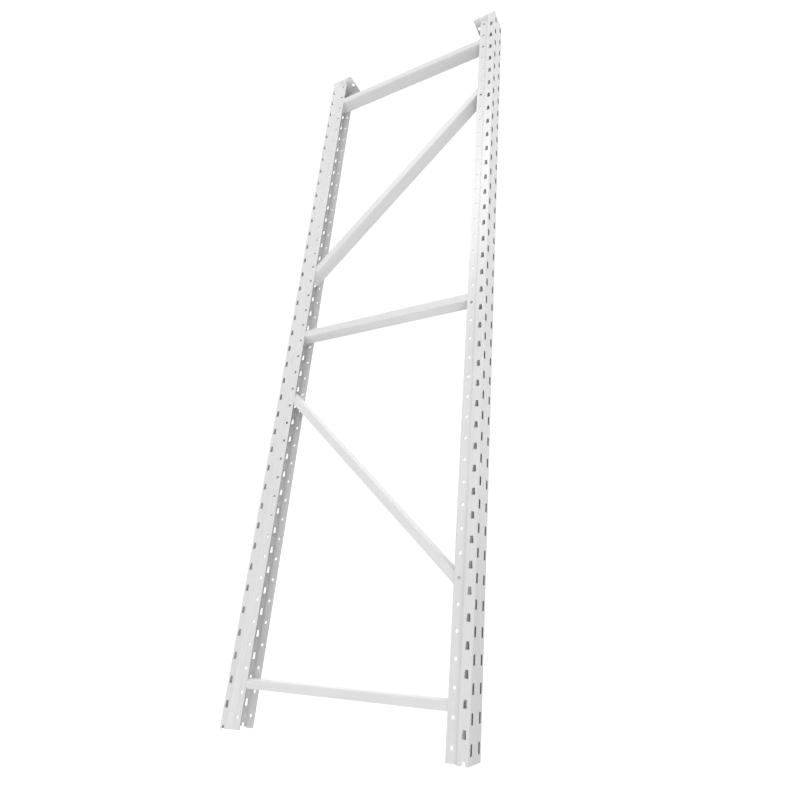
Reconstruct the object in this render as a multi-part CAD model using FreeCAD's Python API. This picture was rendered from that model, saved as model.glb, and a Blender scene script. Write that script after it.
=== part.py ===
import FreeCAD, Part
import math
import os

# Welded end frame of a bay of boltless shelving: two perforated posts on foot plates, tied by
# channel braces. Millimetres, +Z up, origin on the floor at the middle of the frame.
# X runs from the front post to the rear post, and both posts turn their webs outwards.

# Whole frame
HEIGHT = 2000.0
DEPTH = 600.0

# Post: open section folded from one sheet, with walls that step in to a narrower neck
POST_WIDTH = 60.0
POST_DEPTH = 50.0
POST_SHEET = 1.5
POST_BEND = 1.5
STEP_START = 21.0
STEP_RUN = 8.0
STEP_INSET = 9.0

# Holes in the post, all on one pitch, with slots and flange holes half a pitch below the hook holes
HOLE_PITCH = 50.0
FIRST_HOOK_HEIGHT = 50.0
HOOK_WIDE = 8.5
HOOK_NARROW = 6.0
HOOK_TALL = 15.0
HOOK_FROM_WEB = 10.0
SLOT_WIDE = 8.0
SLOT_TALL = 20.0
SLOT_SPACING = 36.0
FLANGE_HOLE = 7.0
FLANGE_HOLE_FROM_EDGE = 12.0
FLANGE_HOLE_SIDES = 6

# Foot plate under each post
FOOT_THICKNESS = 3.0
FOOT_TAIL = 21.0
FOOT_CORNER = 3.0
ANCHOR_HOLE = 11.0
ANCHOR_FROM_END = 9.0

# Brace channels, which slide between the necks of the two posts
BRACE_HEIGHT = 19.5
BRACE_SHEET = 1.5
BRACE_BEND = 1.5
BRACE_CLEARANCE = 0.2
BRACE_END_GAP = 12.5
DIAGONAL_END_GAP = 23.5

# Levels of the braces' centre lines, and where the diagonals cross the posts' rear edges
BOTTOM_BRACE_HEIGHT = 92.5
MIDDLE_BRACE_HEIGHT = 1005.5
TOP_BRACE_DROP = 93.0
LOWER_DIAGONAL_FOOT_RISE = 209.5
LOWER_DIAGONAL_HEAD_DROP = 218.5
UPPER_DIAGONAL_FOOT_RISE = 203.5
UPPER_DIAGONAL_HEAD_DROP = 233.0

# Weld beads
BEAD_LEG = 2.2
BEAD_LENGTH = 14.0
BEAD_CROWN = 0.3

# Sizes that follow from those above
neck_half = POST_WIDTH / 2 - STEP_INSET
neck_gap = 2 * (neck_half - POST_SHEET)
brace_width = neck_gap - 2 * BRACE_CLEARANCE
foot_length = POST_DEPTH + FOOT_TAIL
web_outer = DEPTH / 2
post_edge = web_outer - POST_DEPTH
web_inner = web_outer - POST_SHEET
top_brace_height = HEIGHT - TOP_BRACE_DROP
first_slot_height = FIRST_HOOK_HEIGHT - HOLE_PITCH / 2


def vector(x, y, z=0.0):
    return FreeCAD.Vector(x, y, z)


def upright(direction):
    """The direction turned a quarter turn to the left in the XY plane."""
    return vector(-direction.y, direction.x)


def sheet_side(corners, offset, radius):
    """Edges of one face of a folded sheet, at a signed offset to the left of its middle line."""
    edges = []
    legs = [(b - a).normalize() for a, b in zip(corners, corners[1:])]
    start = corners[0] + upright(legs[0]) * offset
    for corner, before, after in zip(corners[1:], legs, legs[1:]):
        turn = math.atan2(before.cross(after).z, before.dot(after))
        side = math.copysign(1.0, turn)
        reach = radius * math.tan(abs(turn) / 2)
        centre = corner - before * reach + upright(before) * radius * side
        bend_start = corner - before * reach + upright(before) * offset
        bend_end = corner + after * reach + upright(after) * offset
        outward = (corner - centre).normalize()
        bend_middle = centre + outward * (radius - offset * side)
        edges.append(Part.LineSegment(start, bend_start).toShape())
        edges.append(Part.Arc(bend_start, bend_middle, bend_end).toShape())
        start = bend_end
    end = corners[-1] + upright(legs[-1]) * offset
    edges.append(Part.LineSegment(start, end).toShape())
    return edges, corners[0] + upright(legs[0]) * offset, end


def folded_section(corners, sheet, inside_radius):
    """Face of a sheet folded along a middle line given by its sharp corners."""
    radius = inside_radius + sheet / 2
    left, left_start, left_end = sheet_side(corners, sheet / 2, radius)
    right, right_start, right_end = sheet_side(corners, -sheet / 2, radius)
    caps = [
        Part.LineSegment(left_end, right_end).toShape(),
        Part.LineSegment(left_start, right_start).toShape(),
    ]
    wire = Part.Wire(Part.__sortEdges__(left + right + caps))
    return Part.Face(wire)


def prism(points, run):
    """Solid swept from a flat outline of straight sides."""
    wire = Part.makePolygon(points + points[:1])
    return Part.Face(wire).extrude(run)


def levels(first, tall):
    """Heights of one column of holes, up to the last that still cuts the post's top end."""
    count = math.floor((HEIGHT - first + tall / 2) / HOLE_PITCH) + 1
    heights = [first + index * HOLE_PITCH for index in range(count)]
    return [height for height in heights if height - tall / 2 < HEIGHT]


def hook_holes():
    """Tapered holes through both side walls, wide end up."""
    x = HOOK_FROM_WEB - web_outer
    tools = []
    for z in levels(FIRST_HOOK_HEIGHT, HOOK_TALL):
        low = z - HOOK_TALL / 2
        high = z + HOOK_TALL / 2
        outline = [
            vector(x - HOOK_NARROW / 2, -POST_WIDTH, low),
            vector(x + HOOK_NARROW / 2, -POST_WIDTH, low),
            vector(x + HOOK_WIDE / 2, -POST_WIDTH, high),
            vector(x - HOOK_WIDE / 2, -POST_WIDTH, high),
        ]
        tools.append(prism(outline, vector(0, 2 * POST_WIDTH)))
    return tools


def web_slots():
    """Two columns of upright slots through the web only."""
    x = -web_outer - POST_SHEET
    tools = []
    for z in levels(first_slot_height, SLOT_TALL):
        for y in (-SLOT_SPACING / 2, SLOT_SPACING / 2):
            corner = vector(x, y - SLOT_WIDE / 2, z - SLOT_TALL / 2)
            tools.append(Part.makeBox(3 * POST_SHEET, SLOT_WIDE, SLOT_TALL, corner))
    return tools


def flange_holes():
    """Round holes through both rear flanges, drawn with flat sides of the circle's own area."""
    x = -post_edge - FLANGE_HOLE_FROM_EDGE
    step = 2 * math.pi / FLANGE_HOLE_SIDES
    radius = FLANGE_HOLE / 2 * math.sqrt(step / math.sin(step))
    tools = []
    for z in levels(first_slot_height, FLANGE_HOLE):
        outline = [
            vector(x + radius * math.sin(index * step), -POST_WIDTH, z + radius * math.cos(index * step))
            for index in range(FLANGE_HOLE_SIDES)
        ]
        tools.append(prism(outline, vector(0, 2 * POST_WIDTH)))
    return tools


def post():
    """Front post: the folded section run up from the foot plate, then punched."""
    wall = POST_WIDTH / 2 - POST_SHEET / 2
    neck = neck_half - POST_SHEET / 2
    one_side = [
        vector(-post_edge, neck),
        vector(STEP_START + STEP_RUN - web_outer, neck),
        vector(STEP_START - web_outer, wall),
        vector(POST_SHEET / 2 - web_outer, wall),
    ]
    other_side = [vector(point.x, -point.y) for point in reversed(one_side)]
    section = folded_section(one_side + other_side, POST_SHEET, POST_BEND)
    section.translate(vector(0, 0, FOOT_THICKNESS))
    blank = section.extrude(vector(0, 0, HEIGHT - FOOT_THICKNESS))
    holes = Part.makeCompound(hook_holes() + web_slots() + flange_holes())
    return blank.cut(holes)


def foot_plate():
    """Front foot plate: flat plate under the post with its anchor hole behind the neck."""
    plate = Part.makeBox(foot_length, POST_WIDTH, FOOT_THICKNESS, vector(-web_outer, -POST_WIDTH / 2))
    tail = foot_length - web_outer
    corners = [edge for edge in plate.Edges if edge.BoundBox.XMin > tail - FOOT_CORNER / 2
               and edge.BoundBox.ZLength > FOOT_THICKNESS / 2]
    plate = plate.makeFillet(FOOT_CORNER, corners)
    anchor = vector(tail - ANCHOR_FROM_END, 0, -FOOT_THICKNESS)
    return plate.cut(Part.makeCylinder(ANCHOR_HOLE / 2, 3 * FOOT_THICKNESS, anchor))


def brace(start, end, web_up):
    """Channel between two points of its centre line in the XZ plane, web on its upper or lower side."""
    web_side = -1.0 if web_up else 1.0
    web = web_side * (BRACE_HEIGHT - BRACE_SHEET) / 2
    lip = -web_side * BRACE_HEIGHT / 2
    flange = (brace_width - BRACE_SHEET) / 2
    corners = [vector(lip, -flange), vector(web, -flange), vector(web, flange), vector(lip, flange)]
    section = folded_section(corners, BRACE_SHEET, BRACE_BEND)
    run = end - start
    channel = section.extrude(vector(0, 0, run.Length))
    along = FreeCAD.Vector(run).normalize()
    across = vector(0, 1)
    down = across.cross(along)
    channel.Placement = FreeCAD.Placement(FreeCAD.Matrix(
        down.x, across.x, along.x, start.x,
        down.y, across.y, along.y, start.y,
        down.z, across.z, along.z, start.z,
    ))
    return channel


def bead(corner, leg_a, leg_b, run):
    """Fillet weld in an inside corner: two legs, a crowned face, and a run centred on the corner."""
    middle = corner + (leg_a + leg_b) * 0.5
    crown = middle + (leg_a + leg_b).normalize() * BEAD_CROWN
    wire = Part.Wire([
        Part.LineSegment(corner, corner + leg_a).toShape(),
        Part.Arc(corner + leg_a, crown, corner + leg_b).toShape(),
        Part.LineSegment(corner + leg_b, corner).toShape(),
    ])
    solid = Part.Face(wire).extrude(run)
    solid.translate(run * -0.5)
    return solid


def brace_weld(end, height):
    """Two beads that join a brace's sides to a post's rear edges. end is -1 at the front post."""
    beads = []
    for side in (-1, 1):
        corner = vector(end * post_edge, side * brace_width / 2, height)
        across_edge = vector(0, side * (BRACE_CLEARANCE + POST_SHEET))
        along_brace = vector(-end * BEAD_LEG, 0)
        beads.append(bead(corner, across_edge, along_brace, vector(0, 0, BEAD_LENGTH)))
    return Part.makeCompound(beads)


def foot_weld():
    """Beads on the front foot plate, outside both rear flanges and inside the web."""
    up = vector(0, 0, BEAD_LEG)
    flange_middle = (STEP_START + STEP_RUN + POST_DEPTH) / 2 - web_outer
    beads = []
    for side in (-1, 1):
        corner = vector(flange_middle, side * neck_half, FOOT_THICKNESS)
        beads.append(bead(corner, vector(0, side * BEAD_LEG), up, vector(BEAD_LENGTH, 0)))
    corner = vector(-web_inner, 0, FOOT_THICKNESS)
    beads.append(bead(corner, vector(BEAD_LEG, 0), up, vector(0, BEAD_LENGTH)))
    return Part.makeCompound(beads)


def turned(shape):
    """The same piece at the rear post: half a turn about the frame's upright axis."""
    return shape.rotated(vector(0, 0), vector(0, 0, 1), 180)


def level_brace(height, web_up):
    """Horizontal brace that stops short of both webs."""
    reach = web_inner - BRACE_END_GAP
    return brace(vector(-reach, 0, height), vector(reach, 0, height), web_up)


def diagonal_brace(front_height, rear_height, web_up):
    """Sloping brace through given heights at the two posts' rear edges."""
    reach = web_inner - DIAGONAL_END_GAP
    middle = (front_height + rear_height) / 2
    rise = (rear_height - front_height) / (2 * post_edge) * reach
    return brace(vector(-reach, 0, middle - rise), vector(reach, 0, middle + rise), web_up)


lower_foot = BOTTOM_BRACE_HEIGHT + LOWER_DIAGONAL_FOOT_RISE
lower_head = MIDDLE_BRACE_HEIGHT - LOWER_DIAGONAL_HEAD_DROP
upper_foot = MIDDLE_BRACE_HEIGHT + UPPER_DIAGONAL_FOOT_RISE
upper_head = top_brace_height - UPPER_DIAGONAL_HEAD_DROP

nodes = {
    "front_post": post(),
    "front_foot_plate": foot_plate(),
    "front_foot_weld": foot_weld(),
    "bottom_brace": level_brace(BOTTOM_BRACE_HEIGHT, True),
    "middle_brace": level_brace(MIDDLE_BRACE_HEIGHT, True),
    "top_brace": level_brace(top_brace_height, False),
    "lower_diagonal": diagonal_brace(lower_foot, lower_head, True),
    "upper_diagonal": diagonal_brace(upper_head, upper_foot, False),
}
for piece in ("post", "foot_plate", "foot_weld"):
    nodes["rear_" + piece] = turned(nodes["front_" + piece])

weld_heights = {
    "bottom_brace": (BOTTOM_BRACE_HEIGHT, BOTTOM_BRACE_HEIGHT),
    "middle_brace": (MIDDLE_BRACE_HEIGHT, MIDDLE_BRACE_HEIGHT),
    "top_brace": (top_brace_height, top_brace_height),
    "lower_diagonal": (lower_foot, lower_head),
    "upper_diagonal": (upper_head, upper_foot),
}
for name, (front_height, rear_height) in weld_heights.items():
    nodes[name + "_front_weld"] = brace_weld(-1, front_height)
    nodes[name + "_rear_weld"] = brace_weld(1, rear_height)

os.makedirs("parts", exist_ok=True)
for name, shape in nodes.items():
    shape.exportStep("parts/" + name + ".step")
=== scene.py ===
import math
import bpy
from mathutils import Matrix, Quaternion, Vector
from mathutils.geometry import delaunay_2d_cdt


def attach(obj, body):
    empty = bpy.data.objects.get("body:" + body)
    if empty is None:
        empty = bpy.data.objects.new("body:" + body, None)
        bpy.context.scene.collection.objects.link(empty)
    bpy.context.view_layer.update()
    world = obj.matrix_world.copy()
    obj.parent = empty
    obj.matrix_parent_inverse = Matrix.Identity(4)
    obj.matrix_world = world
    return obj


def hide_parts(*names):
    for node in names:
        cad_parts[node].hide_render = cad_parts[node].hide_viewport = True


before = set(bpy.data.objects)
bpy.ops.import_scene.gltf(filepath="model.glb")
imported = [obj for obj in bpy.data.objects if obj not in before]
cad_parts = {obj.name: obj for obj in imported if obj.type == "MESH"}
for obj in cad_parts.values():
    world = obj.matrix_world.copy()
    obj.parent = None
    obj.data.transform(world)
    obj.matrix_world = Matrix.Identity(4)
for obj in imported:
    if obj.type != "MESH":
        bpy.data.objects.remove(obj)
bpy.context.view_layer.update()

# Posts: each is one strip of steel sheet, punched flat and then roll-formed to an open section that
# steps in to a neck; the rear one is turned half a turn, so both webs face outwards. The white powder
# coat is dull grey on the cut faces, and the same grey is painted shade deep inside the channels:
# through most of the front post's channel, and at the rear post's web alone.
POST_TOP = 2000.0
POST_FOOT = 3.0
POST_SHEET = 1.5
POST_BEND = 1.5
WEB_FACE = -300.0
REAR_EDGE = -250.0
WALL_FACE = 30.0
NECK_FACE = 21.0
STEP_START = -279.0
STEP_END = -271.0
HOLE_PITCH = 50.0
SEAM_STEP = 12.5
CUT_RIM = 0.3
MM = 0.001


class FoldedSheet:
    """A sheet folded along a middle line. Areas are its flats and bends in turn, each with a length u
    along the line; z runs along the fold. Every cut edge is rounded over from face to face."""

    BEND_STEPS = 4
    ROUNDING = ((1, 0), (1, 45), (1, 90), (-1, 90), (-1, 45), (-1, 0))
    ALL_TRIANGLES = 0
    NEARNESS = 1e-7

    def __init__(self, corners, sheet, inside_radius, rim):
        self.half = sheet / 2
        self.rim = rim
        self.spots, self.facings, self.cuts, self.inner = [], [], [], []
        self.faces, self.known = [], {}
        self.areas = []
        corners = [Vector(corner) for corner in corners]
        legs = [(b - a).normalized() for a, b in zip(corners, corners[1:])]
        radius = inside_radius + self.half
        start = corners[0]
        for corner, along, following in zip(corners[1:], legs, legs[1:] + legs[-1:]):
            normal = Vector((along.y, -along.x))
            turn = math.atan2(along.cross(following), along.dot(following))
            reach = radius * math.tan(abs(turn) / 2)
            stop = corner - along * reach
            self.areas.append((start, along, normal, (stop - start).length, 0.0))
            if turn:
                self.areas.append((stop, along, normal, radius * abs(turn), turn))
            start = corner + following * reach

    def length(self, area):
        return self.areas[area][3]

    def stations(self, area):
        steps = self.BEND_STEPS if self.areas[area][4] else 1
        return [self.length(area) * step / steps for step in range(steps + 1)]

    def at(self, area, u):
        """Place, direction and outward normal of the middle line at a length u along one area."""
        start, along, normal, length, turn = self.areas[area]
        if not turn:
            return start + along * u, along, normal
        arm = normal * math.copysign(length / abs(turn), turn)
        spin = Matrix.Rotation(turn * u / length, 2)
        return start - arm + spin @ arm, spin @ along, spin @ normal

    def spot(self, area, point, way, face, tilt):
        """A point of one face, or of the rounding between the faces, which leans over the cut edge."""
        lean, rise = math.sin(math.radians(tilt)), math.cos(math.radians(tilt))
        place, along, normal = self.at(area, point[0] + way[0] * self.rim * lean)
        place = place + normal * face * (self.half - self.rim * (1 - rise))
        z = point[1] + way[1] * self.rim * lean
        key = (round(place.x, 3), round(place.y, 3), round(z, 3))
        if key not in self.known:
            facing = normal * face * rise + along * way[0] * lean
            self.known[key] = len(self.spots)
            self.spots.append(Vector((place.x, place.y, z)))
            self.facings.append(Vector((facing.x, facing.y, way[1] * lean)).normalized())
            self.cuts.append(lean)
            self.inner.append((1 - face * rise) / 2)
        return self.known[key]

    def face(self, corners):
        corners = list(dict.fromkeys(corners))
        if len(corners) < 3:
            return
        a, b, c = (self.spots[corner] for corner in (corners[0], corners[1], corners[-1]))
        outward = sum((self.facings[corner] for corner in corners), Vector())
        if (b - a).cross(c - a).dot(outward) < 0:
            corners.reverse()
        self.faces.append(corners)

    def drawn_in(self, loop, free):
        """The loop drawn in from its cut edges by the rounding, with the way that each point leans."""
        points = []
        for index, point in enumerate(loop):
            ways = []
            for edge in (index - 1, index):
                run = (loop[(edge + 1) % len(loop)] - loop[edge]).normalized()
                if free[edge]:
                    ways.append(Vector((run.y, -run.x)))
            way = sum(ways, Vector((0, 0)))
            if len(ways) == 2:
                way = way / (1 + ways[0].dot(ways[1]))
            points.append((point - way * self.rim, way))
        return points

    def panel(self, area, outline, free, holes=()):
        """Both faces of one area inside an outline, less its holes, with all cut edges rounded."""
        loops = [(self.drawn_in(outline, free), free)]
        for hole in holes:
            around = [True] * len(hole)
            loops.append((self.drawn_in(hole[::-1], around), around))
        points, edges = [], []
        for loop, cut in loops:
            first, count = len(points), len(loop)
            for index in range(count):
                following = (index + 1) % count
                edges.append((first + index, first + following))
                if cut[index]:
                    self.round_over(area, loop[index], loop[following])
            points += loop
        flat = delaunay_2d_cdt([point for point, way in points], edges, [],
                               self.ALL_TRIANGLES, self.NEARNESS)
        triangles, origins = flat[2], flat[3]
        rims = [(points[a][0], points[b][0]) for a, b in edges]
        for triangle in triangles:
            corners = [points[origins[corner][0]] for corner in triangle]
            middle = sum((point for point, way in corners), Vector((0, 0))) / 3
            if self.in_sheet(middle, rims):
                for side in (1, -1):
                    self.face([self.spot(area, point, way, side, 0) for point, way in corners])

    def in_sheet(self, point, rims):
        """Whether an odd number of the outline's and the holes' edges lies to one side of a point."""
        crossed = 0
        for a, b in rims:
            if (a.y > point.y) != (b.y > point.y):
                crossed += point.x < a.x + (b.x - a.x) * (point.y - a.y) / (b.y - a.y)
        return crossed % 2 == 1

    def round_over(self, area, start, end):
        for low, high in zip(self.ROUNDING, self.ROUNDING[1:]):
            corners = [(start, low), (end, low), (end, high), (start, high)]
            self.face([self.spot(area, *point, *turn) for point, turn in corners])

    def strip(self, area, bottom, top, step=None, free=(), holes=(), notch=()):
        """One area between two levels. free names its cut sides; a notch is cut into its top end."""
        levels = []
        if step:
            levels = [step * i for i in range(math.ceil(bottom / step), math.floor(top / step) + 1)]
            levels = [level for level in levels if bottom < level < top]
        stations = self.stations(area)
        for left, right in zip(stations, stations[1:]):
            sides = [("bottom", (left, bottom))]
            sides += [("right", (right, level)) for level in [bottom] + levels]
            sides += [("top", point) for point in [(right, top)] + list(notch)]
            sides += [("left", (left, level)) for level in [top] + levels[::-1]]
            outline = [Vector(point) for side, point in sides]
            self.panel(area, outline, [side in free for side, point in sides], holes)

    def mesh(self, name, place, coat):
        """A mesh in metres, with the direction that each point faces and where the edges were cut."""
        made = bpy.data.meshes.new(name)
        made.materials.append(coat)
        made.from_pydata([place @ spot * MM for spot in self.spots], [], self.faces)
        turn = place.to_3x3()
        facing = made.attributes.new("facing", "FLOAT_VECTOR", "POINT")
        facing.data.foreach_set("vector", [x for way in self.facings for x in turn @ way])
        cut = made.attributes.new("cut", "FLOAT", "POINT")
        cut.data.foreach_set("value", self.cuts)
        return made


def rounded(corners, radii, steps):
    """An outline whose corners, given anticlockwise, are rounded off, each by its own radius."""
    points = []
    corners = [Vector(corner) for corner in corners]
    befores, afters = corners[-1:] + corners[:-1], corners[1:] + corners[:1]
    for before, corner, after, radius in zip(befores, corners, afters, radii):
        into, out = (corner - before).normalized(), (after - corner).normalized()
        turn = math.atan2(into.cross(out), into.dot(out))
        centre = corner - into * radius * math.tan(turn / 2) + Vector((-into.y, into.x)) * radius
        for step in range(steps + 1 if radius else 1):
            spin = Matrix.Rotation(turn * step / steps, 2)
            points.append(centre + spin @ Vector((into.y, -into.x)) * radius)
    return points


def round_hole(u, z, across, sides):
    angles = [2 * math.pi * i / sides for i in range(sides)]
    return [Vector((u + across / 2 * math.cos(a), z + across / 2 * math.sin(a))) for a in angles]


HOOK_WIDE = 8.5
HOOK_NARROW = 6.0
HOOK_TALL = 15.0
HOOK_CORNER = 1.1
HOOK_FROM_WEB = 10.0
SLOT_WIDE = 8.0
SLOT_TALL = 20.0
SLOT_CORNER = 2.0
SLOT_SPACING = 36.0
CORNER_STEPS = 4
FLANGE_HOLE = 7.0
FLANGE_HOLE_SIDES = 24
FLANGE_HOLE_FROM_EDGE = 12.0


def hook_hole(u, z):
    """Tapered hole with its wide end up."""
    low, high = z - HOOK_TALL / 2, z + HOOK_TALL / 2
    corners = [(u - HOOK_NARROW / 2, low), (u + HOOK_NARROW / 2, low),
               (u + HOOK_WIDE / 2, high), (u - HOOK_WIDE / 2, high)]
    return rounded(corners, [HOOK_CORNER] * 4, CORNER_STEPS)


def hook_notch(u, z):
    """Lower half of a hook hole that the post's end cuts through, walked from right to left."""
    half = (HOOK_NARROW + HOOK_WIDE) / 4
    below = [point for point in hook_hole(u, z) if point.y < z]
    right = [point for point in below if point.x > u]
    left = [point for point in below if point.x < u]
    return [Vector((u + half, z))] + right[::-1] + left[::-1] + [Vector((u - half, z))]


def web_slot(u, z):
    """Upright slot with rounded corners."""
    half, rise = SLOT_WIDE / 2, SLOT_TALL / 2
    corners = [(u - half, z - rise), (u + half, z - rise), (u + half, z + rise), (u - half, z + rise)]
    return rounded(corners, [SLOT_CORNER] * 4, CORNER_STEPS)


half_section = [
    (REAR_EDGE, NECK_FACE - POST_SHEET / 2),
    (STEP_END, NECK_FACE - POST_SHEET / 2),
    (STEP_START, WALL_FACE - POST_SHEET / 2),
    (WEB_FACE + POST_SHEET / 2, WALL_FACE - POST_SHEET / 2),
]
post_section = half_section + [(x, -y) for x, y in reversed(half_section)]

# Areas of the section in turn: flange, bend, step, bend, wall, bend, web, and the same back again.
FLANGES, WALLS, WEB = (0, 12), (4, 8), 6
FLANGE_ZONE, WALL_ZONE = (0, 1, 2, 10, 11, 12), (3, 4, 5, 7, 8, 9)


def flange_and_web(sheet, bottom, top, hole_level, ends=()):
    """The flanges, steps and web between two levels, with their row of round holes and slots."""
    for area in FLANGE_ZONE + (WEB,):
        holes, sides = [], list(ends)
        if area in FLANGES:
            first = area == FLANGES[0]
            centre = FLANGE_HOLE_FROM_EDGE if first else sheet.length(area) - FLANGE_HOLE_FROM_EDGE
            holes = [round_hole(centre, hole_level, FLANGE_HOLE, FLANGE_HOLE_SIDES)]
            sides.append("left" if first else "right")
        if area == WEB:
            middle = sheet.length(area) / 2
            holes = [web_slot(middle + side * SLOT_SPACING / 2, hole_level) for side in (-1, 1)]
        sheet.strip(area, bottom, top, SEAM_STEP, sides, holes)


def walls(sheet, bottom, top, hook_level=None, ends=(), cut_through=False):
    """The side walls between two levels, with a hook hole, or with half of one at the post's end."""
    for area in WALL_ZONE:
        holes, notch = [], []
        if area in WALLS and hook_level is not None:
            from_bend = sheet.at(area, 0)[0].x
            centre = abs(WEB_FACE + HOOK_FROM_WEB - from_bend)
            if cut_through:
                notch = hook_notch(centre, hook_level)
            else:
                holes = [hook_hole(centre, hook_level)]
        sheet.strip(area, bottom, top, SEAM_STEP, ends, holes, notch)


pitch_sheet = FoldedSheet(post_section, POST_SHEET, POST_BEND, CUT_RIM)
flange_and_web(pitch_sheet, 0, HOLE_PITCH, HOLE_PITCH / 2)
walls(pitch_sheet, -HOLE_PITCH / 2, HOLE_PITCH / 2, 0)

end_sheet = FoldedSheet(post_section, POST_SHEET, POST_BEND, CUT_RIM)
flange_and_web(end_sheet, POST_FOOT, HOLE_PITCH, HOLE_PITCH / 2, ["bottom"])
walls(end_sheet, POST_FOOT, HOLE_PITCH / 2, None, ["bottom"])
flange_and_web(end_sheet, POST_TOP - HOLE_PITCH, POST_TOP, POST_TOP - HOLE_PITCH / 2, ["top"])
walls(end_sheet, POST_TOP - 1.5 * HOLE_PITCH, POST_TOP - HOLE_PITCH / 2, POST_TOP - HOLE_PITCH)
walls(end_sheet, POST_TOP - HOLE_PITCH / 2, POST_TOP, POST_TOP, ["top"], True)


def socketed(tree, kind, settings, sockets):
    """A node of a tree with its settings made first, then its values and links."""
    node = tree.nodes.new(kind)
    for name, value in settings.items():
        setattr(node, name, value)
    for name, value in sockets.items():
        if isinstance(value, bpy.types.NodeSocket):
            tree.links.new(value, node.inputs[name])
        else:
            node.inputs[name].default_value = value
    return node


def made_mesh(source, tree, values):
    """The plain mesh that a geometry tree makes of an object, with the tree's inputs set by name."""
    modifier = source.modifiers.new(tree.name, "NODES")
    modifier.node_group = tree
    for item in tree.interface.items_tree:
        if item.name in values:
            modifier[item.identifier] = values[item.name]
    drawn = source.evaluated_get(bpy.context.evaluated_depsgraph_get())
    mesh = bpy.data.meshes.new_from_object(drawn)
    source.modifiers.remove(modifier)
    return mesh


def scene_object(name, data):
    made = bpy.data.objects.new(name, data)
    bpy.context.scene.collection.objects.link(made)
    return made


def smooth_faced(mesh):
    """Shades the mesh by the true direction of each point, so flats stay flat beside round bends."""
    mesh.shade_smooth()
    values = [0.0] * (3 * len(mesh.vertices))
    mesh.attributes["facing"].data.foreach_get("vector", values)
    mesh.normals_split_custom_set_from_vertices(list(zip(values[0::3], values[1::3], values[2::3])))
    mesh.attributes.remove(mesh.attributes["facing"])


SEAM_REACH = 0.00002
punching = bpy.data.node_groups.new("punched_post", "GeometryNodeTree")
punching.interface.new_socket("Pitch cell", in_out="INPUT", socket_type="NodeSocketGeometry")
punching.interface.new_socket("Post ends", in_out="INPUT", socket_type="NodeSocketObject")
punching.interface.new_socket("Pitch", in_out="INPUT", socket_type="NodeSocketFloat")
punching.interface.new_socket("Count", in_out="INPUT", socket_type="NodeSocketInt")
punching.interface.new_socket("Coat", in_out="INPUT", socket_type="NodeSocketMaterial")
punching.interface.new_socket("Post", in_out="OUTPUT", socket_type="NodeSocketGeometry")
given = punching.nodes.new("NodeGroupInput").outputs
rise = socketed(punching, "ShaderNodeCombineXYZ", {}, {"Z": given["Pitch"]}).outputs[0]
row = socketed(punching, "GeometryNodeMeshLine", {"mode": "OFFSET"}, {
    "Count": given["Count"], "Start Location": rise, "Offset": rise})
cells = socketed(punching, "GeometryNodeInstanceOnPoints", {}, {
    "Points": row.outputs[0], "Instance": given["Pitch cell"]})
ends = socketed(punching, "GeometryNodeObjectInfo", {}, {"Object": given["Post ends"]})
whole = punching.nodes.new("GeometryNodeJoinGeometry")
punching.links.new(cells.outputs[0], whole.inputs[0])
punching.links.new(ends.outputs["Geometry"], whole.inputs[0])
real = socketed(punching, "GeometryNodeRealizeInstances", {}, {0: whole.outputs[0]})
joined = socketed(punching, "GeometryNodeMergeByDistance", {}, {
    0: real.outputs[0], "Distance": SEAM_REACH})
coated = socketed(punching, "GeometryNodeSetMaterial", {}, {
    0: joined.outputs[0], "Material": given["Coat"]})
punching.links.new(coated.outputs[0], punching.nodes.new("NodeGroupOutput").inputs[0])


class Shade:
    """A socket of a material's tree. Sums and products of shades and numbers add Math nodes."""

    def __init__(self, tree, socket=None):
        self.tree = tree
        self.socket = socket

    def node(self, kind, settings, sockets, out=0):
        plain = {}
        for name, value in sockets.items():
            plain[name] = value.socket if isinstance(value, Shade) else value
        return Shade(self.tree, socketed(self.tree, kind, settings, plain).outputs[out])

    def maths(self, operation, a, b):
        return self.node("ShaderNodeMath", {"operation": operation}, {0: a, 1: b})

    def __add__(self, other):
        return self.maths("ADD", self, other)

    def __radd__(self, other):
        return self.maths("ADD", other, self)

    def __sub__(self, other):
        return self.maths("SUBTRACT", self, other)

    def __rsub__(self, other):
        return self.maths("SUBTRACT", other, self)

    def __mul__(self, other):
        return self.maths("MULTIPLY", self, other)

    def __rmul__(self, other):
        return self.maths("MULTIPLY", other, self)


PEEL_PER_METRE = 430.0
GRAIN_PER_METRE = 2400.0
CLOUDS_PER_METRE = 5.0
MARKS_PER_METRE = 260.0
TONE_SPREAD = 0.10
# Dull grey for the posts' cut faces and for the painted shade deep inside their channels.
CUT_AND_SHADE_GREY = (0.30, 0.30, 0.305, 1.0)
SHADE_FROM_DEPTH = 0.40
SHADE_TO_DEPTH = 0.75


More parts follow.
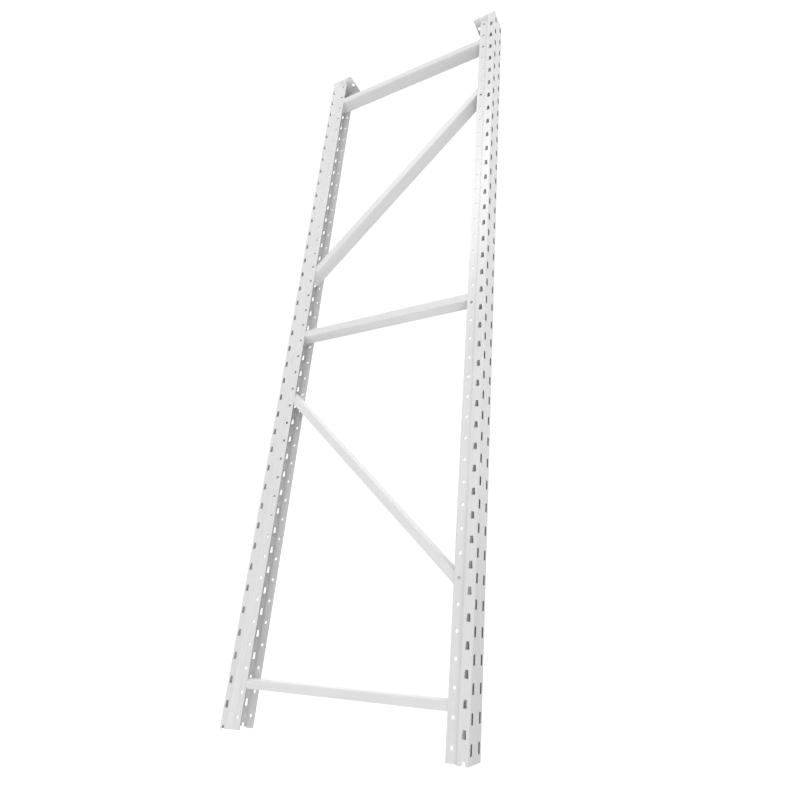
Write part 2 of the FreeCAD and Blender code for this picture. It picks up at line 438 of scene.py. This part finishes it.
def powder_coat(name, tone, drawn_out, peel_height, lean=0.0):
    """Satin powder coat: orange peel, fine grain, faint marks along the way the sheet was drawn, a
    paler film over the rims, and a dull grey on a post's cut faces and, as painted shade, deep in its
    channel."""
    material = bpy.data.materials.new(name)
    material.use_nodes = True
    tree = material.node_tree
    shader = tree.nodes["Principled BSDF"]
    start = Shade(tree)
    place = start.node("ShaderNodeTexCoord", {}, {}, "Object")

    def noise(per_metre, detail, stretch=(1.0, 1.0, 1.0)):
        spot = start.node("ShaderNodeMapping", {"vector_type": "TEXTURE"}, {
            "Vector": place, "Rotation": (0.0, lean, 0.0), "Scale": stretch})
        return start.node("ShaderNodeTexNoise", {}, {
            "Vector": spot, "Scale": per_metre, "Detail": detail, "Roughness": 0.55})

    peel = noise(PEEL_PER_METRE, 2.0)
    grain = noise(GRAIN_PER_METRE, 1.0)
    cloud = noise(CLOUDS_PER_METRE, 3.0)
    marks = noise(MARKS_PER_METRE, 2.0, drawn_out)
    edge = start.node("ShaderNodeAttribute", {"attribute_name": "cut"}, {}, "Fac")
    shift = (cloud - 0.5) * 0.30 + (marks - 0.5) * 0.45 + (grain - 0.5) * 0.10 + edge * 0.06
    light = tuple(min(1.0, (1 + TONE_SPREAD) * value) for value in tone) + (1.0,)
    dark = tuple((1 - TONE_SPREAD) * value for value in tone) + (1.0,)
    film = start.node("ShaderNodeMix", {"data_type": "RGBA"}, {
        "Factor": 0.5 + shift * 2.0, 6: dark, 7: light}, 2)
    # Painted shade: a dull grey laid over the coat by depth inside a post's channel; cut faces get it in
    # full.
    inside = start.node("ShaderNodeAttribute", {"attribute_name": "inside"}, {}, "Fac")
    painted_shade = start.node("ShaderNodeMapRange", {"interpolation_type": "SMOOTHSTEP"}, {
        "Value": inside + (cloud - 0.5) * 0.3, "From Min": SHADE_FROM_DEPTH, "From Max": SHADE_TO_DEPTH})
    colour = start.node("ShaderNodeMix", {"data_type": "RGBA"}, {
        "Factor": painted_shade, 6: film, 7: CUT_AND_SHADE_GREY}, 2)
    tree.links.new(colour.socket, shader.inputs["Base Color"])
    rough = 0.40 + (grain - 0.5) * 0.16 + (peel - 0.5) * 0.10 + (cloud - 0.5) * 0.08
    tree.links.new(rough.socket, shader.inputs["Roughness"])
    height = peel * 0.7 + grain * 0.12 + marks * 0.35
    bump = start.node("ShaderNodeBump", {}, {"Strength": 0.5, "Distance": peel_height, "Height": height})
    tree.links.new(bump.socket, shader.inputs["Normal"])
    shader.inputs["IOR"].default_value = 1.5
    return material


post_coat = powder_coat("post_powder", (0.90, 0.90, 0.895), (1.0, 1.0, 80.0), 0.00006)
CUT_FACE = 0.99


def post_object(name, sheet):
    """A stretch of post that also knows which of its faces were cut and how deep inside others lie,
    which sets where the coat's dull grey and painted shade fall.
    """
    made = sheet.mesh(name, Matrix(), post_coat)
    depths = []
    for spot, inner, cut in zip(sheet.spots, sheet.inner, sheet.cuts):
        depth = inner * (REAR_EDGE - spot.x) / (REAR_EDGE - WEB_FACE)
        depths.append(1.0 if cut > CUT_FACE else depth)
    made.attributes.new("inside", "FLOAT", "POINT").data.foreach_set("value", depths)
    return scene_object(name, made)


# Depth inside a post is raised to its own power: a low one spreads the painted shade all through the
# channel, a high one keeps it at the web alone.
SHADE_DEPTH_POWER = {"front": 0.5, "rear": 16.0}
POST_TURNS = {"front": 0.0, "rear": math.pi}
cell_count = round(POST_TOP / HOLE_PITCH) - 2
cell_object = post_object("pitch_cell", pitch_sheet)
end_object = post_object("post_ends", end_sheet)
for post, spin in POST_TURNS.items():
    strip = made_mesh(cell_object, punching, {
        "Post ends": end_object, "Pitch": HOLE_PITCH * MM, "Count": cell_count, "Coat": post_coat})
    strip.name = post + "_post_strip"
    for depth in strip.attributes["inside"].data:
        depth.value = max(0.0, depth.value) ** SHADE_DEPTH_POWER[post]
    smooth_faced(strip)
    strip.transform(Matrix.Rotation(spin, 4, "Z"))
    piece = scene_object(post + "_post_strip", strip)
    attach(piece, "root")
    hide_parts(post + "_post")
for helper in (cell_object, end_object):
    bpy.data.objects.remove(helper)

# Foot plates: a flat steel plate sheared to size under each post, its two tail corners rounded, with
# one anchor hole beyond the post's rear edge. It is welded to the post and coated with it.
PLATE_THICK = POST_FOOT
PLATE_TAIL = 21.0
PLATE_LONG = REAR_EDGE - WEB_FACE + PLATE_TAIL
PLATE_WIDE = 2 * WALL_FACE
PLATE_RIM = 0.5
TAIL_CORNER = 3.0
TAIL_STEPS = 6
ANCHOR_HOLE = 11.0
ANCHOR_SIDES = 36
ANCHOR_FROM_END = 9.0
plate = FoldedSheet([(WEB_FACE + PLATE_LONG, PLATE_THICK / 2), (WEB_FACE, PLATE_THICK / 2)],
                    PLATE_THICK, 0.0, PLATE_RIM)
plate_corners = [(0, -PLATE_WIDE / 2), (PLATE_LONG, -PLATE_WIDE / 2),
                 (PLATE_LONG, PLATE_WIDE / 2), (0, PLATE_WIDE / 2)]
plate_outline = rounded(plate_corners, [TAIL_CORNER, 0, 0, TAIL_CORNER], TAIL_STEPS)
anchor_hole = round_hole(ANCHOR_FROM_END, 0, ANCHOR_HOLE, ANCHOR_SIDES)
plate.panel(0, plate_outline, [True] * len(plate_outline), [anchor_hole])
foot_coat = powder_coat("foot_powder", (0.89, 0.89, 0.885), (1.0, 50.0, 1.0), 0.00007)
for post, spin in POST_TURNS.items():
    lying = Matrix.Rotation(spin, 4, "Z") @ Matrix.Rotation(math.pi / 2, 4, "X")
    sheared = plate.mesh(post + "_anchor_plate", lying, foot_coat)
    smooth_faced(sheared)
    piece = scene_object(post + "_anchor_plate", sheared)
    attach(piece, "root")
    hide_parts(post + "_foot_plate")

# Braces: five channels folded from thin sheet that slide between the posts' necks and are welded
# there. The bottom and middle ones and the lower diagonal lie web up, the top one and the upper
# diagonal web down.
BRACE_TALL = 19.5
BRACE_CLEARANCE = 0.2
BRACE_WIDE = 2 * (NECK_FACE - POST_SHEET - BRACE_CLEARANCE)
BRACE_SHEET = 1.5
BRACE_BEND = 1.5
LEVEL_REACH = 286.0
SLOPE_REACH = 275.0


def brace_channel(name, start, end, web_up):
    run = end - start
    along = run.normalized()
    web_way = along.cross(Vector((0, 1, 0))) * (1 if web_up else -1)
    across = along.cross(web_way)
    leg = (BRACE_WIDE - BRACE_SHEET) / 2
    web = (BRACE_TALL - BRACE_SHEET) / 2
    lip = -BRACE_TALL / 2
    channel = FoldedSheet([(lip, -leg), (web, -leg), (web, leg), (lip, leg)],
                          BRACE_SHEET, BRACE_BEND, CUT_RIM)
    last = len(channel.areas) - 1
    for area in range(last + 1):
        lips = {0: ["left"], last: ["right"]}.get(area, [])
        channel.strip(area, 0.0, run.length, None, ["bottom", "top"] + lips)
    turn = Matrix((web_way, across, along)).transposed().to_4x4()
    coat = powder_coat(name + "_powder", (0.91, 0.91, 0.905), (80.0, 1.0, 1.0), 0.00006,
                       -math.atan2(along.z, along.x))
    folded = channel.mesh(name + "_channel", Matrix.Translation(start) @ turn, coat)
    smooth_faced(folded)
    piece = scene_object(name + "_channel", folded)
    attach(piece, "root")
    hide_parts(name)


level_heights = {
    "bottom_brace": (92.5, True),
    "middle_brace": (1005.5, True),
    "top_brace": (1907.0, False),
}
for name, (height, web_up) in level_heights.items():
    brace_channel(name, Vector((-LEVEL_REACH, 0, height)), Vector((LEVEL_REACH, 0, height)), web_up)
crossings = {"lower_diagonal": (302.0, 787.0, True), "upper_diagonal": (1674.0, 1209.0, False)}
for name, (front, rear, web_up) in crossings.items():
    middle = (front + rear) / 2
    climb = (rear - front) / (-2 * REAR_EDGE) * SLOPE_REACH
    brace_channel(name, Vector((-SLOPE_REACH, 0, middle - climb)),
                  Vector((SLOPE_REACH, 0, middle + climb)), web_up)

# Welds: short fillet beads, one on each side of a brace's end along the post's rear edge, and three
# around each post's foot. Each is a row of overlapping ripples of weld metal under the same coat.
BEAD_LONG = 14.0
BEAD_LEG = 2.2
BEAD_RIPPLES = 9
END_RIPPLE = 0.92
RIPPLE_REACH = 0.8
RIPPLE_CROWN = 1.3
ARC_STEPS = 6
weld_coat = powder_coat("weld_powder", (0.92, 0.92, 0.915), (1.0, 1.0, 1.0), 0.00012)


def ripple_mesh():
    """One ripple with unit legs: a crowned fillet, thickest in the middle of its length."""
    points, faces = [], []
    angles = [math.pi / 2 * i / ARC_STEPS for i in range(ARC_STEPS + 1)]
    arc = [(math.cos(a) ** RIPPLE_CROWN, math.sin(a) ** RIPPLE_CROWN) for a in angles]
    steps = [(-1.0, 0.55), (-0.6, 0.88), (0.0, 1.0), (0.6, 0.88), (1.0, 0.55)]
    for along, full in steps:
        points.append((0.0, 0.0, along))
        points += [(full * a, full * b, along) for a, b in arc]
    ring = len(arc) + 1
    for step in range(len(steps) - 1):
        low, high = step * ring, (step + 1) * ring
        for i in range(ring):
            faces.append((low + i, low + (i + 1) % ring, high + (i + 1) % ring, high + i))
    last = (len(steps) - 1) * ring
    faces.append(tuple(range(ring))[::-1])
    faces.append(tuple(range(last, last + ring)))
    mesh = bpy.data.meshes.new("weld_ripple")
    mesh.from_pydata(points, [], faces)
    mesh.materials.append(weld_coat)
    mesh.shade_smooth()
    return mesh


welding = bpy.data.node_groups.new("rippled_bead", "GeometryNodeTree")
welding.interface.new_socket("Ripple places", in_out="INPUT", socket_type="NodeSocketGeometry")
welding.interface.new_socket("Ripple", in_out="INPUT", socket_type="NodeSocketObject")
welding.interface.new_socket("Coat", in_out="INPUT", socket_type="NodeSocketMaterial")
welding.interface.new_socket("Beads", in_out="OUTPUT", socket_type="NodeSocketGeometry")
given = welding.nodes.new("NodeGroupInput").outputs
ripple_info = socketed(welding, "GeometryNodeObjectInfo", {}, {"Object": given["Ripple"]})
turn = socketed(welding, "GeometryNodeInputNamedAttribute", {"data_type": "FLOAT_VECTOR"}, {
    "Name": "turn"})
size = socketed(welding, "GeometryNodeInputNamedAttribute", {"data_type": "FLOAT_VECTOR"}, {
    "Name": "size"})
turned = socketed(welding, "FunctionNodeEulerToRotation", {}, {0: turn.outputs["Attribute"]})
laid = socketed(welding, "GeometryNodeInstanceOnPoints", {}, {
    "Points": given["Ripple places"], "Instance": ripple_info.outputs["Geometry"],
    "Rotation": turned.outputs[0], "Scale": size.outputs["Attribute"]})
real = socketed(welding, "GeometryNodeRealizeInstances", {}, {0: laid.outputs[0]})
coated = socketed(welding, "GeometryNodeSetMaterial", {}, {
    0: real.outputs[0], "Material": given["Coat"]})
welding.links.new(coated.outputs[0], welding.nodes.new("NodeGroupOutput").inputs[0])
ripple_object = scene_object("weld_ripple", ripple_mesh())


def weld_beads(node, beads):
    """Beads given by their inside corner and two legs; each runs along the joint, square to both."""
    places, turns, sizes = [], [], []
    step = BEAD_LONG / (BEAD_RIPPLES - 1 + 2 * RIPPLE_REACH)
    for corner, leg_a, leg_b in beads:
        way_a, way_b = leg_a.normalized(), leg_b.normalized()
        along = way_a.cross(way_b)
        angles = Matrix((way_a, way_b, along)).transposed().to_euler()
        for i in range(BEAD_RIPPLES):
            offset = (i - (BEAD_RIPPLES - 1) / 2) * step
            swell = END_RIPPLE if i in (0, BEAD_RIPPLES - 1) else 1.0
            places.append((corner + along * offset) * MM)
            turns += list(angles)
            sizes += [leg_a.length * MM * swell, leg_b.length * MM * swell, RIPPLE_REACH * step * MM]
    spots = bpy.data.meshes.new(node + "_places")
    spots.from_pydata(places, [], [])
    spots.attributes.new("turn", "FLOAT_VECTOR", "POINT").data.foreach_set("vector", turns)
    spots.attributes.new("size", "FLOAT_VECTOR", "POINT").data.foreach_set("vector", sizes)
    spot_object = scene_object(node + "_places", spots)
    beaded = made_mesh(spot_object, welding, {"Ripple": ripple_object, "Coat": weld_coat})
    bpy.data.objects.remove(spot_object)
    piece = scene_object(node + "_beads", beaded)
    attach(piece, "root")
    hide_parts(node)


joint_heights = {name: (height, height) for name, (height, web_up) in level_heights.items()}
joint_heights.update({name: (front, rear) for name, (front, rear, web_up) in crossings.items()})
for name, heights in joint_heights.items():
    for post, end, height in (("front", -1, heights[0]), ("rear", 1, heights[1])):
        inward = Vector((-end * BEAD_LEG, 0, 0))
        weld_beads(f"{name}_{post}_weld", [
            (Vector((-end * REAR_EDGE, side * BRACE_WIDE / 2, height)),
             Vector((0, side * (NECK_FACE - BRACE_WIDE / 2), 0)), inward)
            for side in (-1, 1)])
flange_middle = (STEP_END + REAR_EDGE) / 2
for post, end in (("front", 1), ("rear", -1)):
    up = Vector((0, 0, BEAD_LEG))
    beads = [(Vector((end * flange_middle, side * NECK_FACE, PLATE_THICK)),
              Vector((0, side * BEAD_LEG, 0)), up)
             for side in (-1, 1)]
    beads.append((Vector((end * (WEB_FACE + POST_SHEET), 0, PLATE_THICK)),
                  Vector((end * BEAD_LEG, 0, 0)), up))
    weld_beads(post + "_foot_weld", beads)
bpy.data.objects.remove(ripple_object)

# Floor: a wide white studio sheet just under the feet, lit through from below so that it stays white
# around them.
FLOOR_REACH = 9.0
FLOOR_DROP = 0.0005
floor_mesh = bpy.data.meshes.new("studio_floor")
floor_corners = [(-FLOOR_REACH, -FLOOR_REACH, 0), (FLOOR_REACH, -FLOOR_REACH, 0),
                 (FLOOR_REACH, FLOOR_REACH, 0), (-FLOOR_REACH, FLOOR_REACH, 0)]
floor_mesh.from_pydata(floor_corners, [], [(0, 1, 2, 3)])
floor_white = bpy.data.materials.new("studio_white")
floor_white.use_nodes = True
floor_shader = floor_white.node_tree.nodes["Principled BSDF"]
floor_shader.inputs["Base Color"].default_value = (0.20, 0.20, 0.20, 1.0)
floor_shader.inputs["Roughness"].default_value = 0.9
floor_shader.inputs["Emission Color"].default_value = (1.0, 1.0, 1.0, 1.0)
floor_shader.inputs["Emission Strength"].default_value = 0.98
floor_mesh.materials.append(floor_white)
floor = scene_object("studio_floor", floor_mesh)
floor.location.z = -FLOOR_DROP

# Studio: white surroundings with large soft boxes to the left, to the right and overhead, and a small
# one low in front of the near post, which burns its lower half towards white.
SHOWN_WHITE = 1.2
FILL_WHITE = 0.31
scene = bpy.context.scene
scene.view_settings.view_transform = "Standard"
studio = bpy.data.worlds.new("studio")
scene.world = studio
studio.use_nodes = True
room = studio.node_tree
shown = room.nodes["Background"]
shown.inputs["Color"].default_value = (1.0, 1.0, 1.0, 1.0)
shown.inputs["Strength"].default_value = SHOWN_WHITE
filling = socketed(room, "ShaderNodeBackground", {}, {
    "Color": (1.0, 1.0, 1.0, 1.0), "Strength": FILL_WHITE})
ray = room.nodes.new("ShaderNodeLightPath")
either = socketed(room, "ShaderNodeMixShader", {}, {
    0: ray.outputs["Is Camera Ray"], 1: filling.outputs[0], 2: shown.outputs[0]})
room.links.new(either.outputs[0], room.nodes["World Output"].inputs["Surface"])


def soft_box(name, place, aim, size, power, spread):
    lamp = bpy.data.lights.new(name, "AREA")
    lamp.shape = "SQUARE"
    lamp.spread = math.radians(spread)
    lamp.size = size
    lamp.energy = power
    light = scene_object(name, lamp)
    light.location = place
    light.rotation_euler = (Vector(aim) - Vector(place)).to_track_quat("-Z", "Y").to_euler()


soft_box("left_soft_box", (-4.2, -4.0, 3.0), (0.0, 0.0, 1.1), 2.5, 37.0, 180)
soft_box("right_soft_box", (3.5, -3.5, 1.9), (0.0, 0.0, 1.0), 2.0, 10.0, 180)
soft_box("top_soft_box", (-0.5, -1.0, 8.0), (0.0, 0.0, 1.0), 3.5, 260.0, 180)
soft_box("low_soft_box", (-0.2, -2.2, 0.30), (-0.27, 0.0, 0.64), 0.25, 0.16, 22)

# Camera: the photograph's own view of the frame, feet towards the top of the picture. Its lens and the
# place of the lens axis in the picture were measured in picture points.
PICTURE_POINTS = 800
LENS_POINTS = 556.94
AXIS_RIGHT_POINTS = 49.45
AXIS_DOWN_POINTS = 29.07
SENSOR_WIDE = 36.0
lens = bpy.data.cameras.new("camera")
camera = scene_object("camera", lens)
scene.camera = camera
look = Vector((0.41949, 0.83459, -0.35706)).normalized()
top_of_picture = Vector((-0.10988, -0.34377, -0.9326))
level = look.to_track_quat("-Z", "Y")
sideways = top_of_picture.dot(level @ Vector((1, 0, 0)))
upright = top_of_picture.dot(level @ Vector((0, 1, 0)))
camera.rotation_mode = "QUATERNION"
camera.rotation_quaternion = level @ Quaternion((0, 0, 1), math.atan2(-sideways, upright))
camera.location = (-0.74587, -1.06403, 1.79622)
lens.sensor_width = SENSOR_WIDE
lens.lens = SENSOR_WIDE * LENS_POINTS / PICTURE_POINTS
lens.shift_x = -AXIS_RIGHT_POINTS / PICTURE_POINTS
lens.shift_y = AXIS_DOWN_POINTS / PICTURE_POINTS
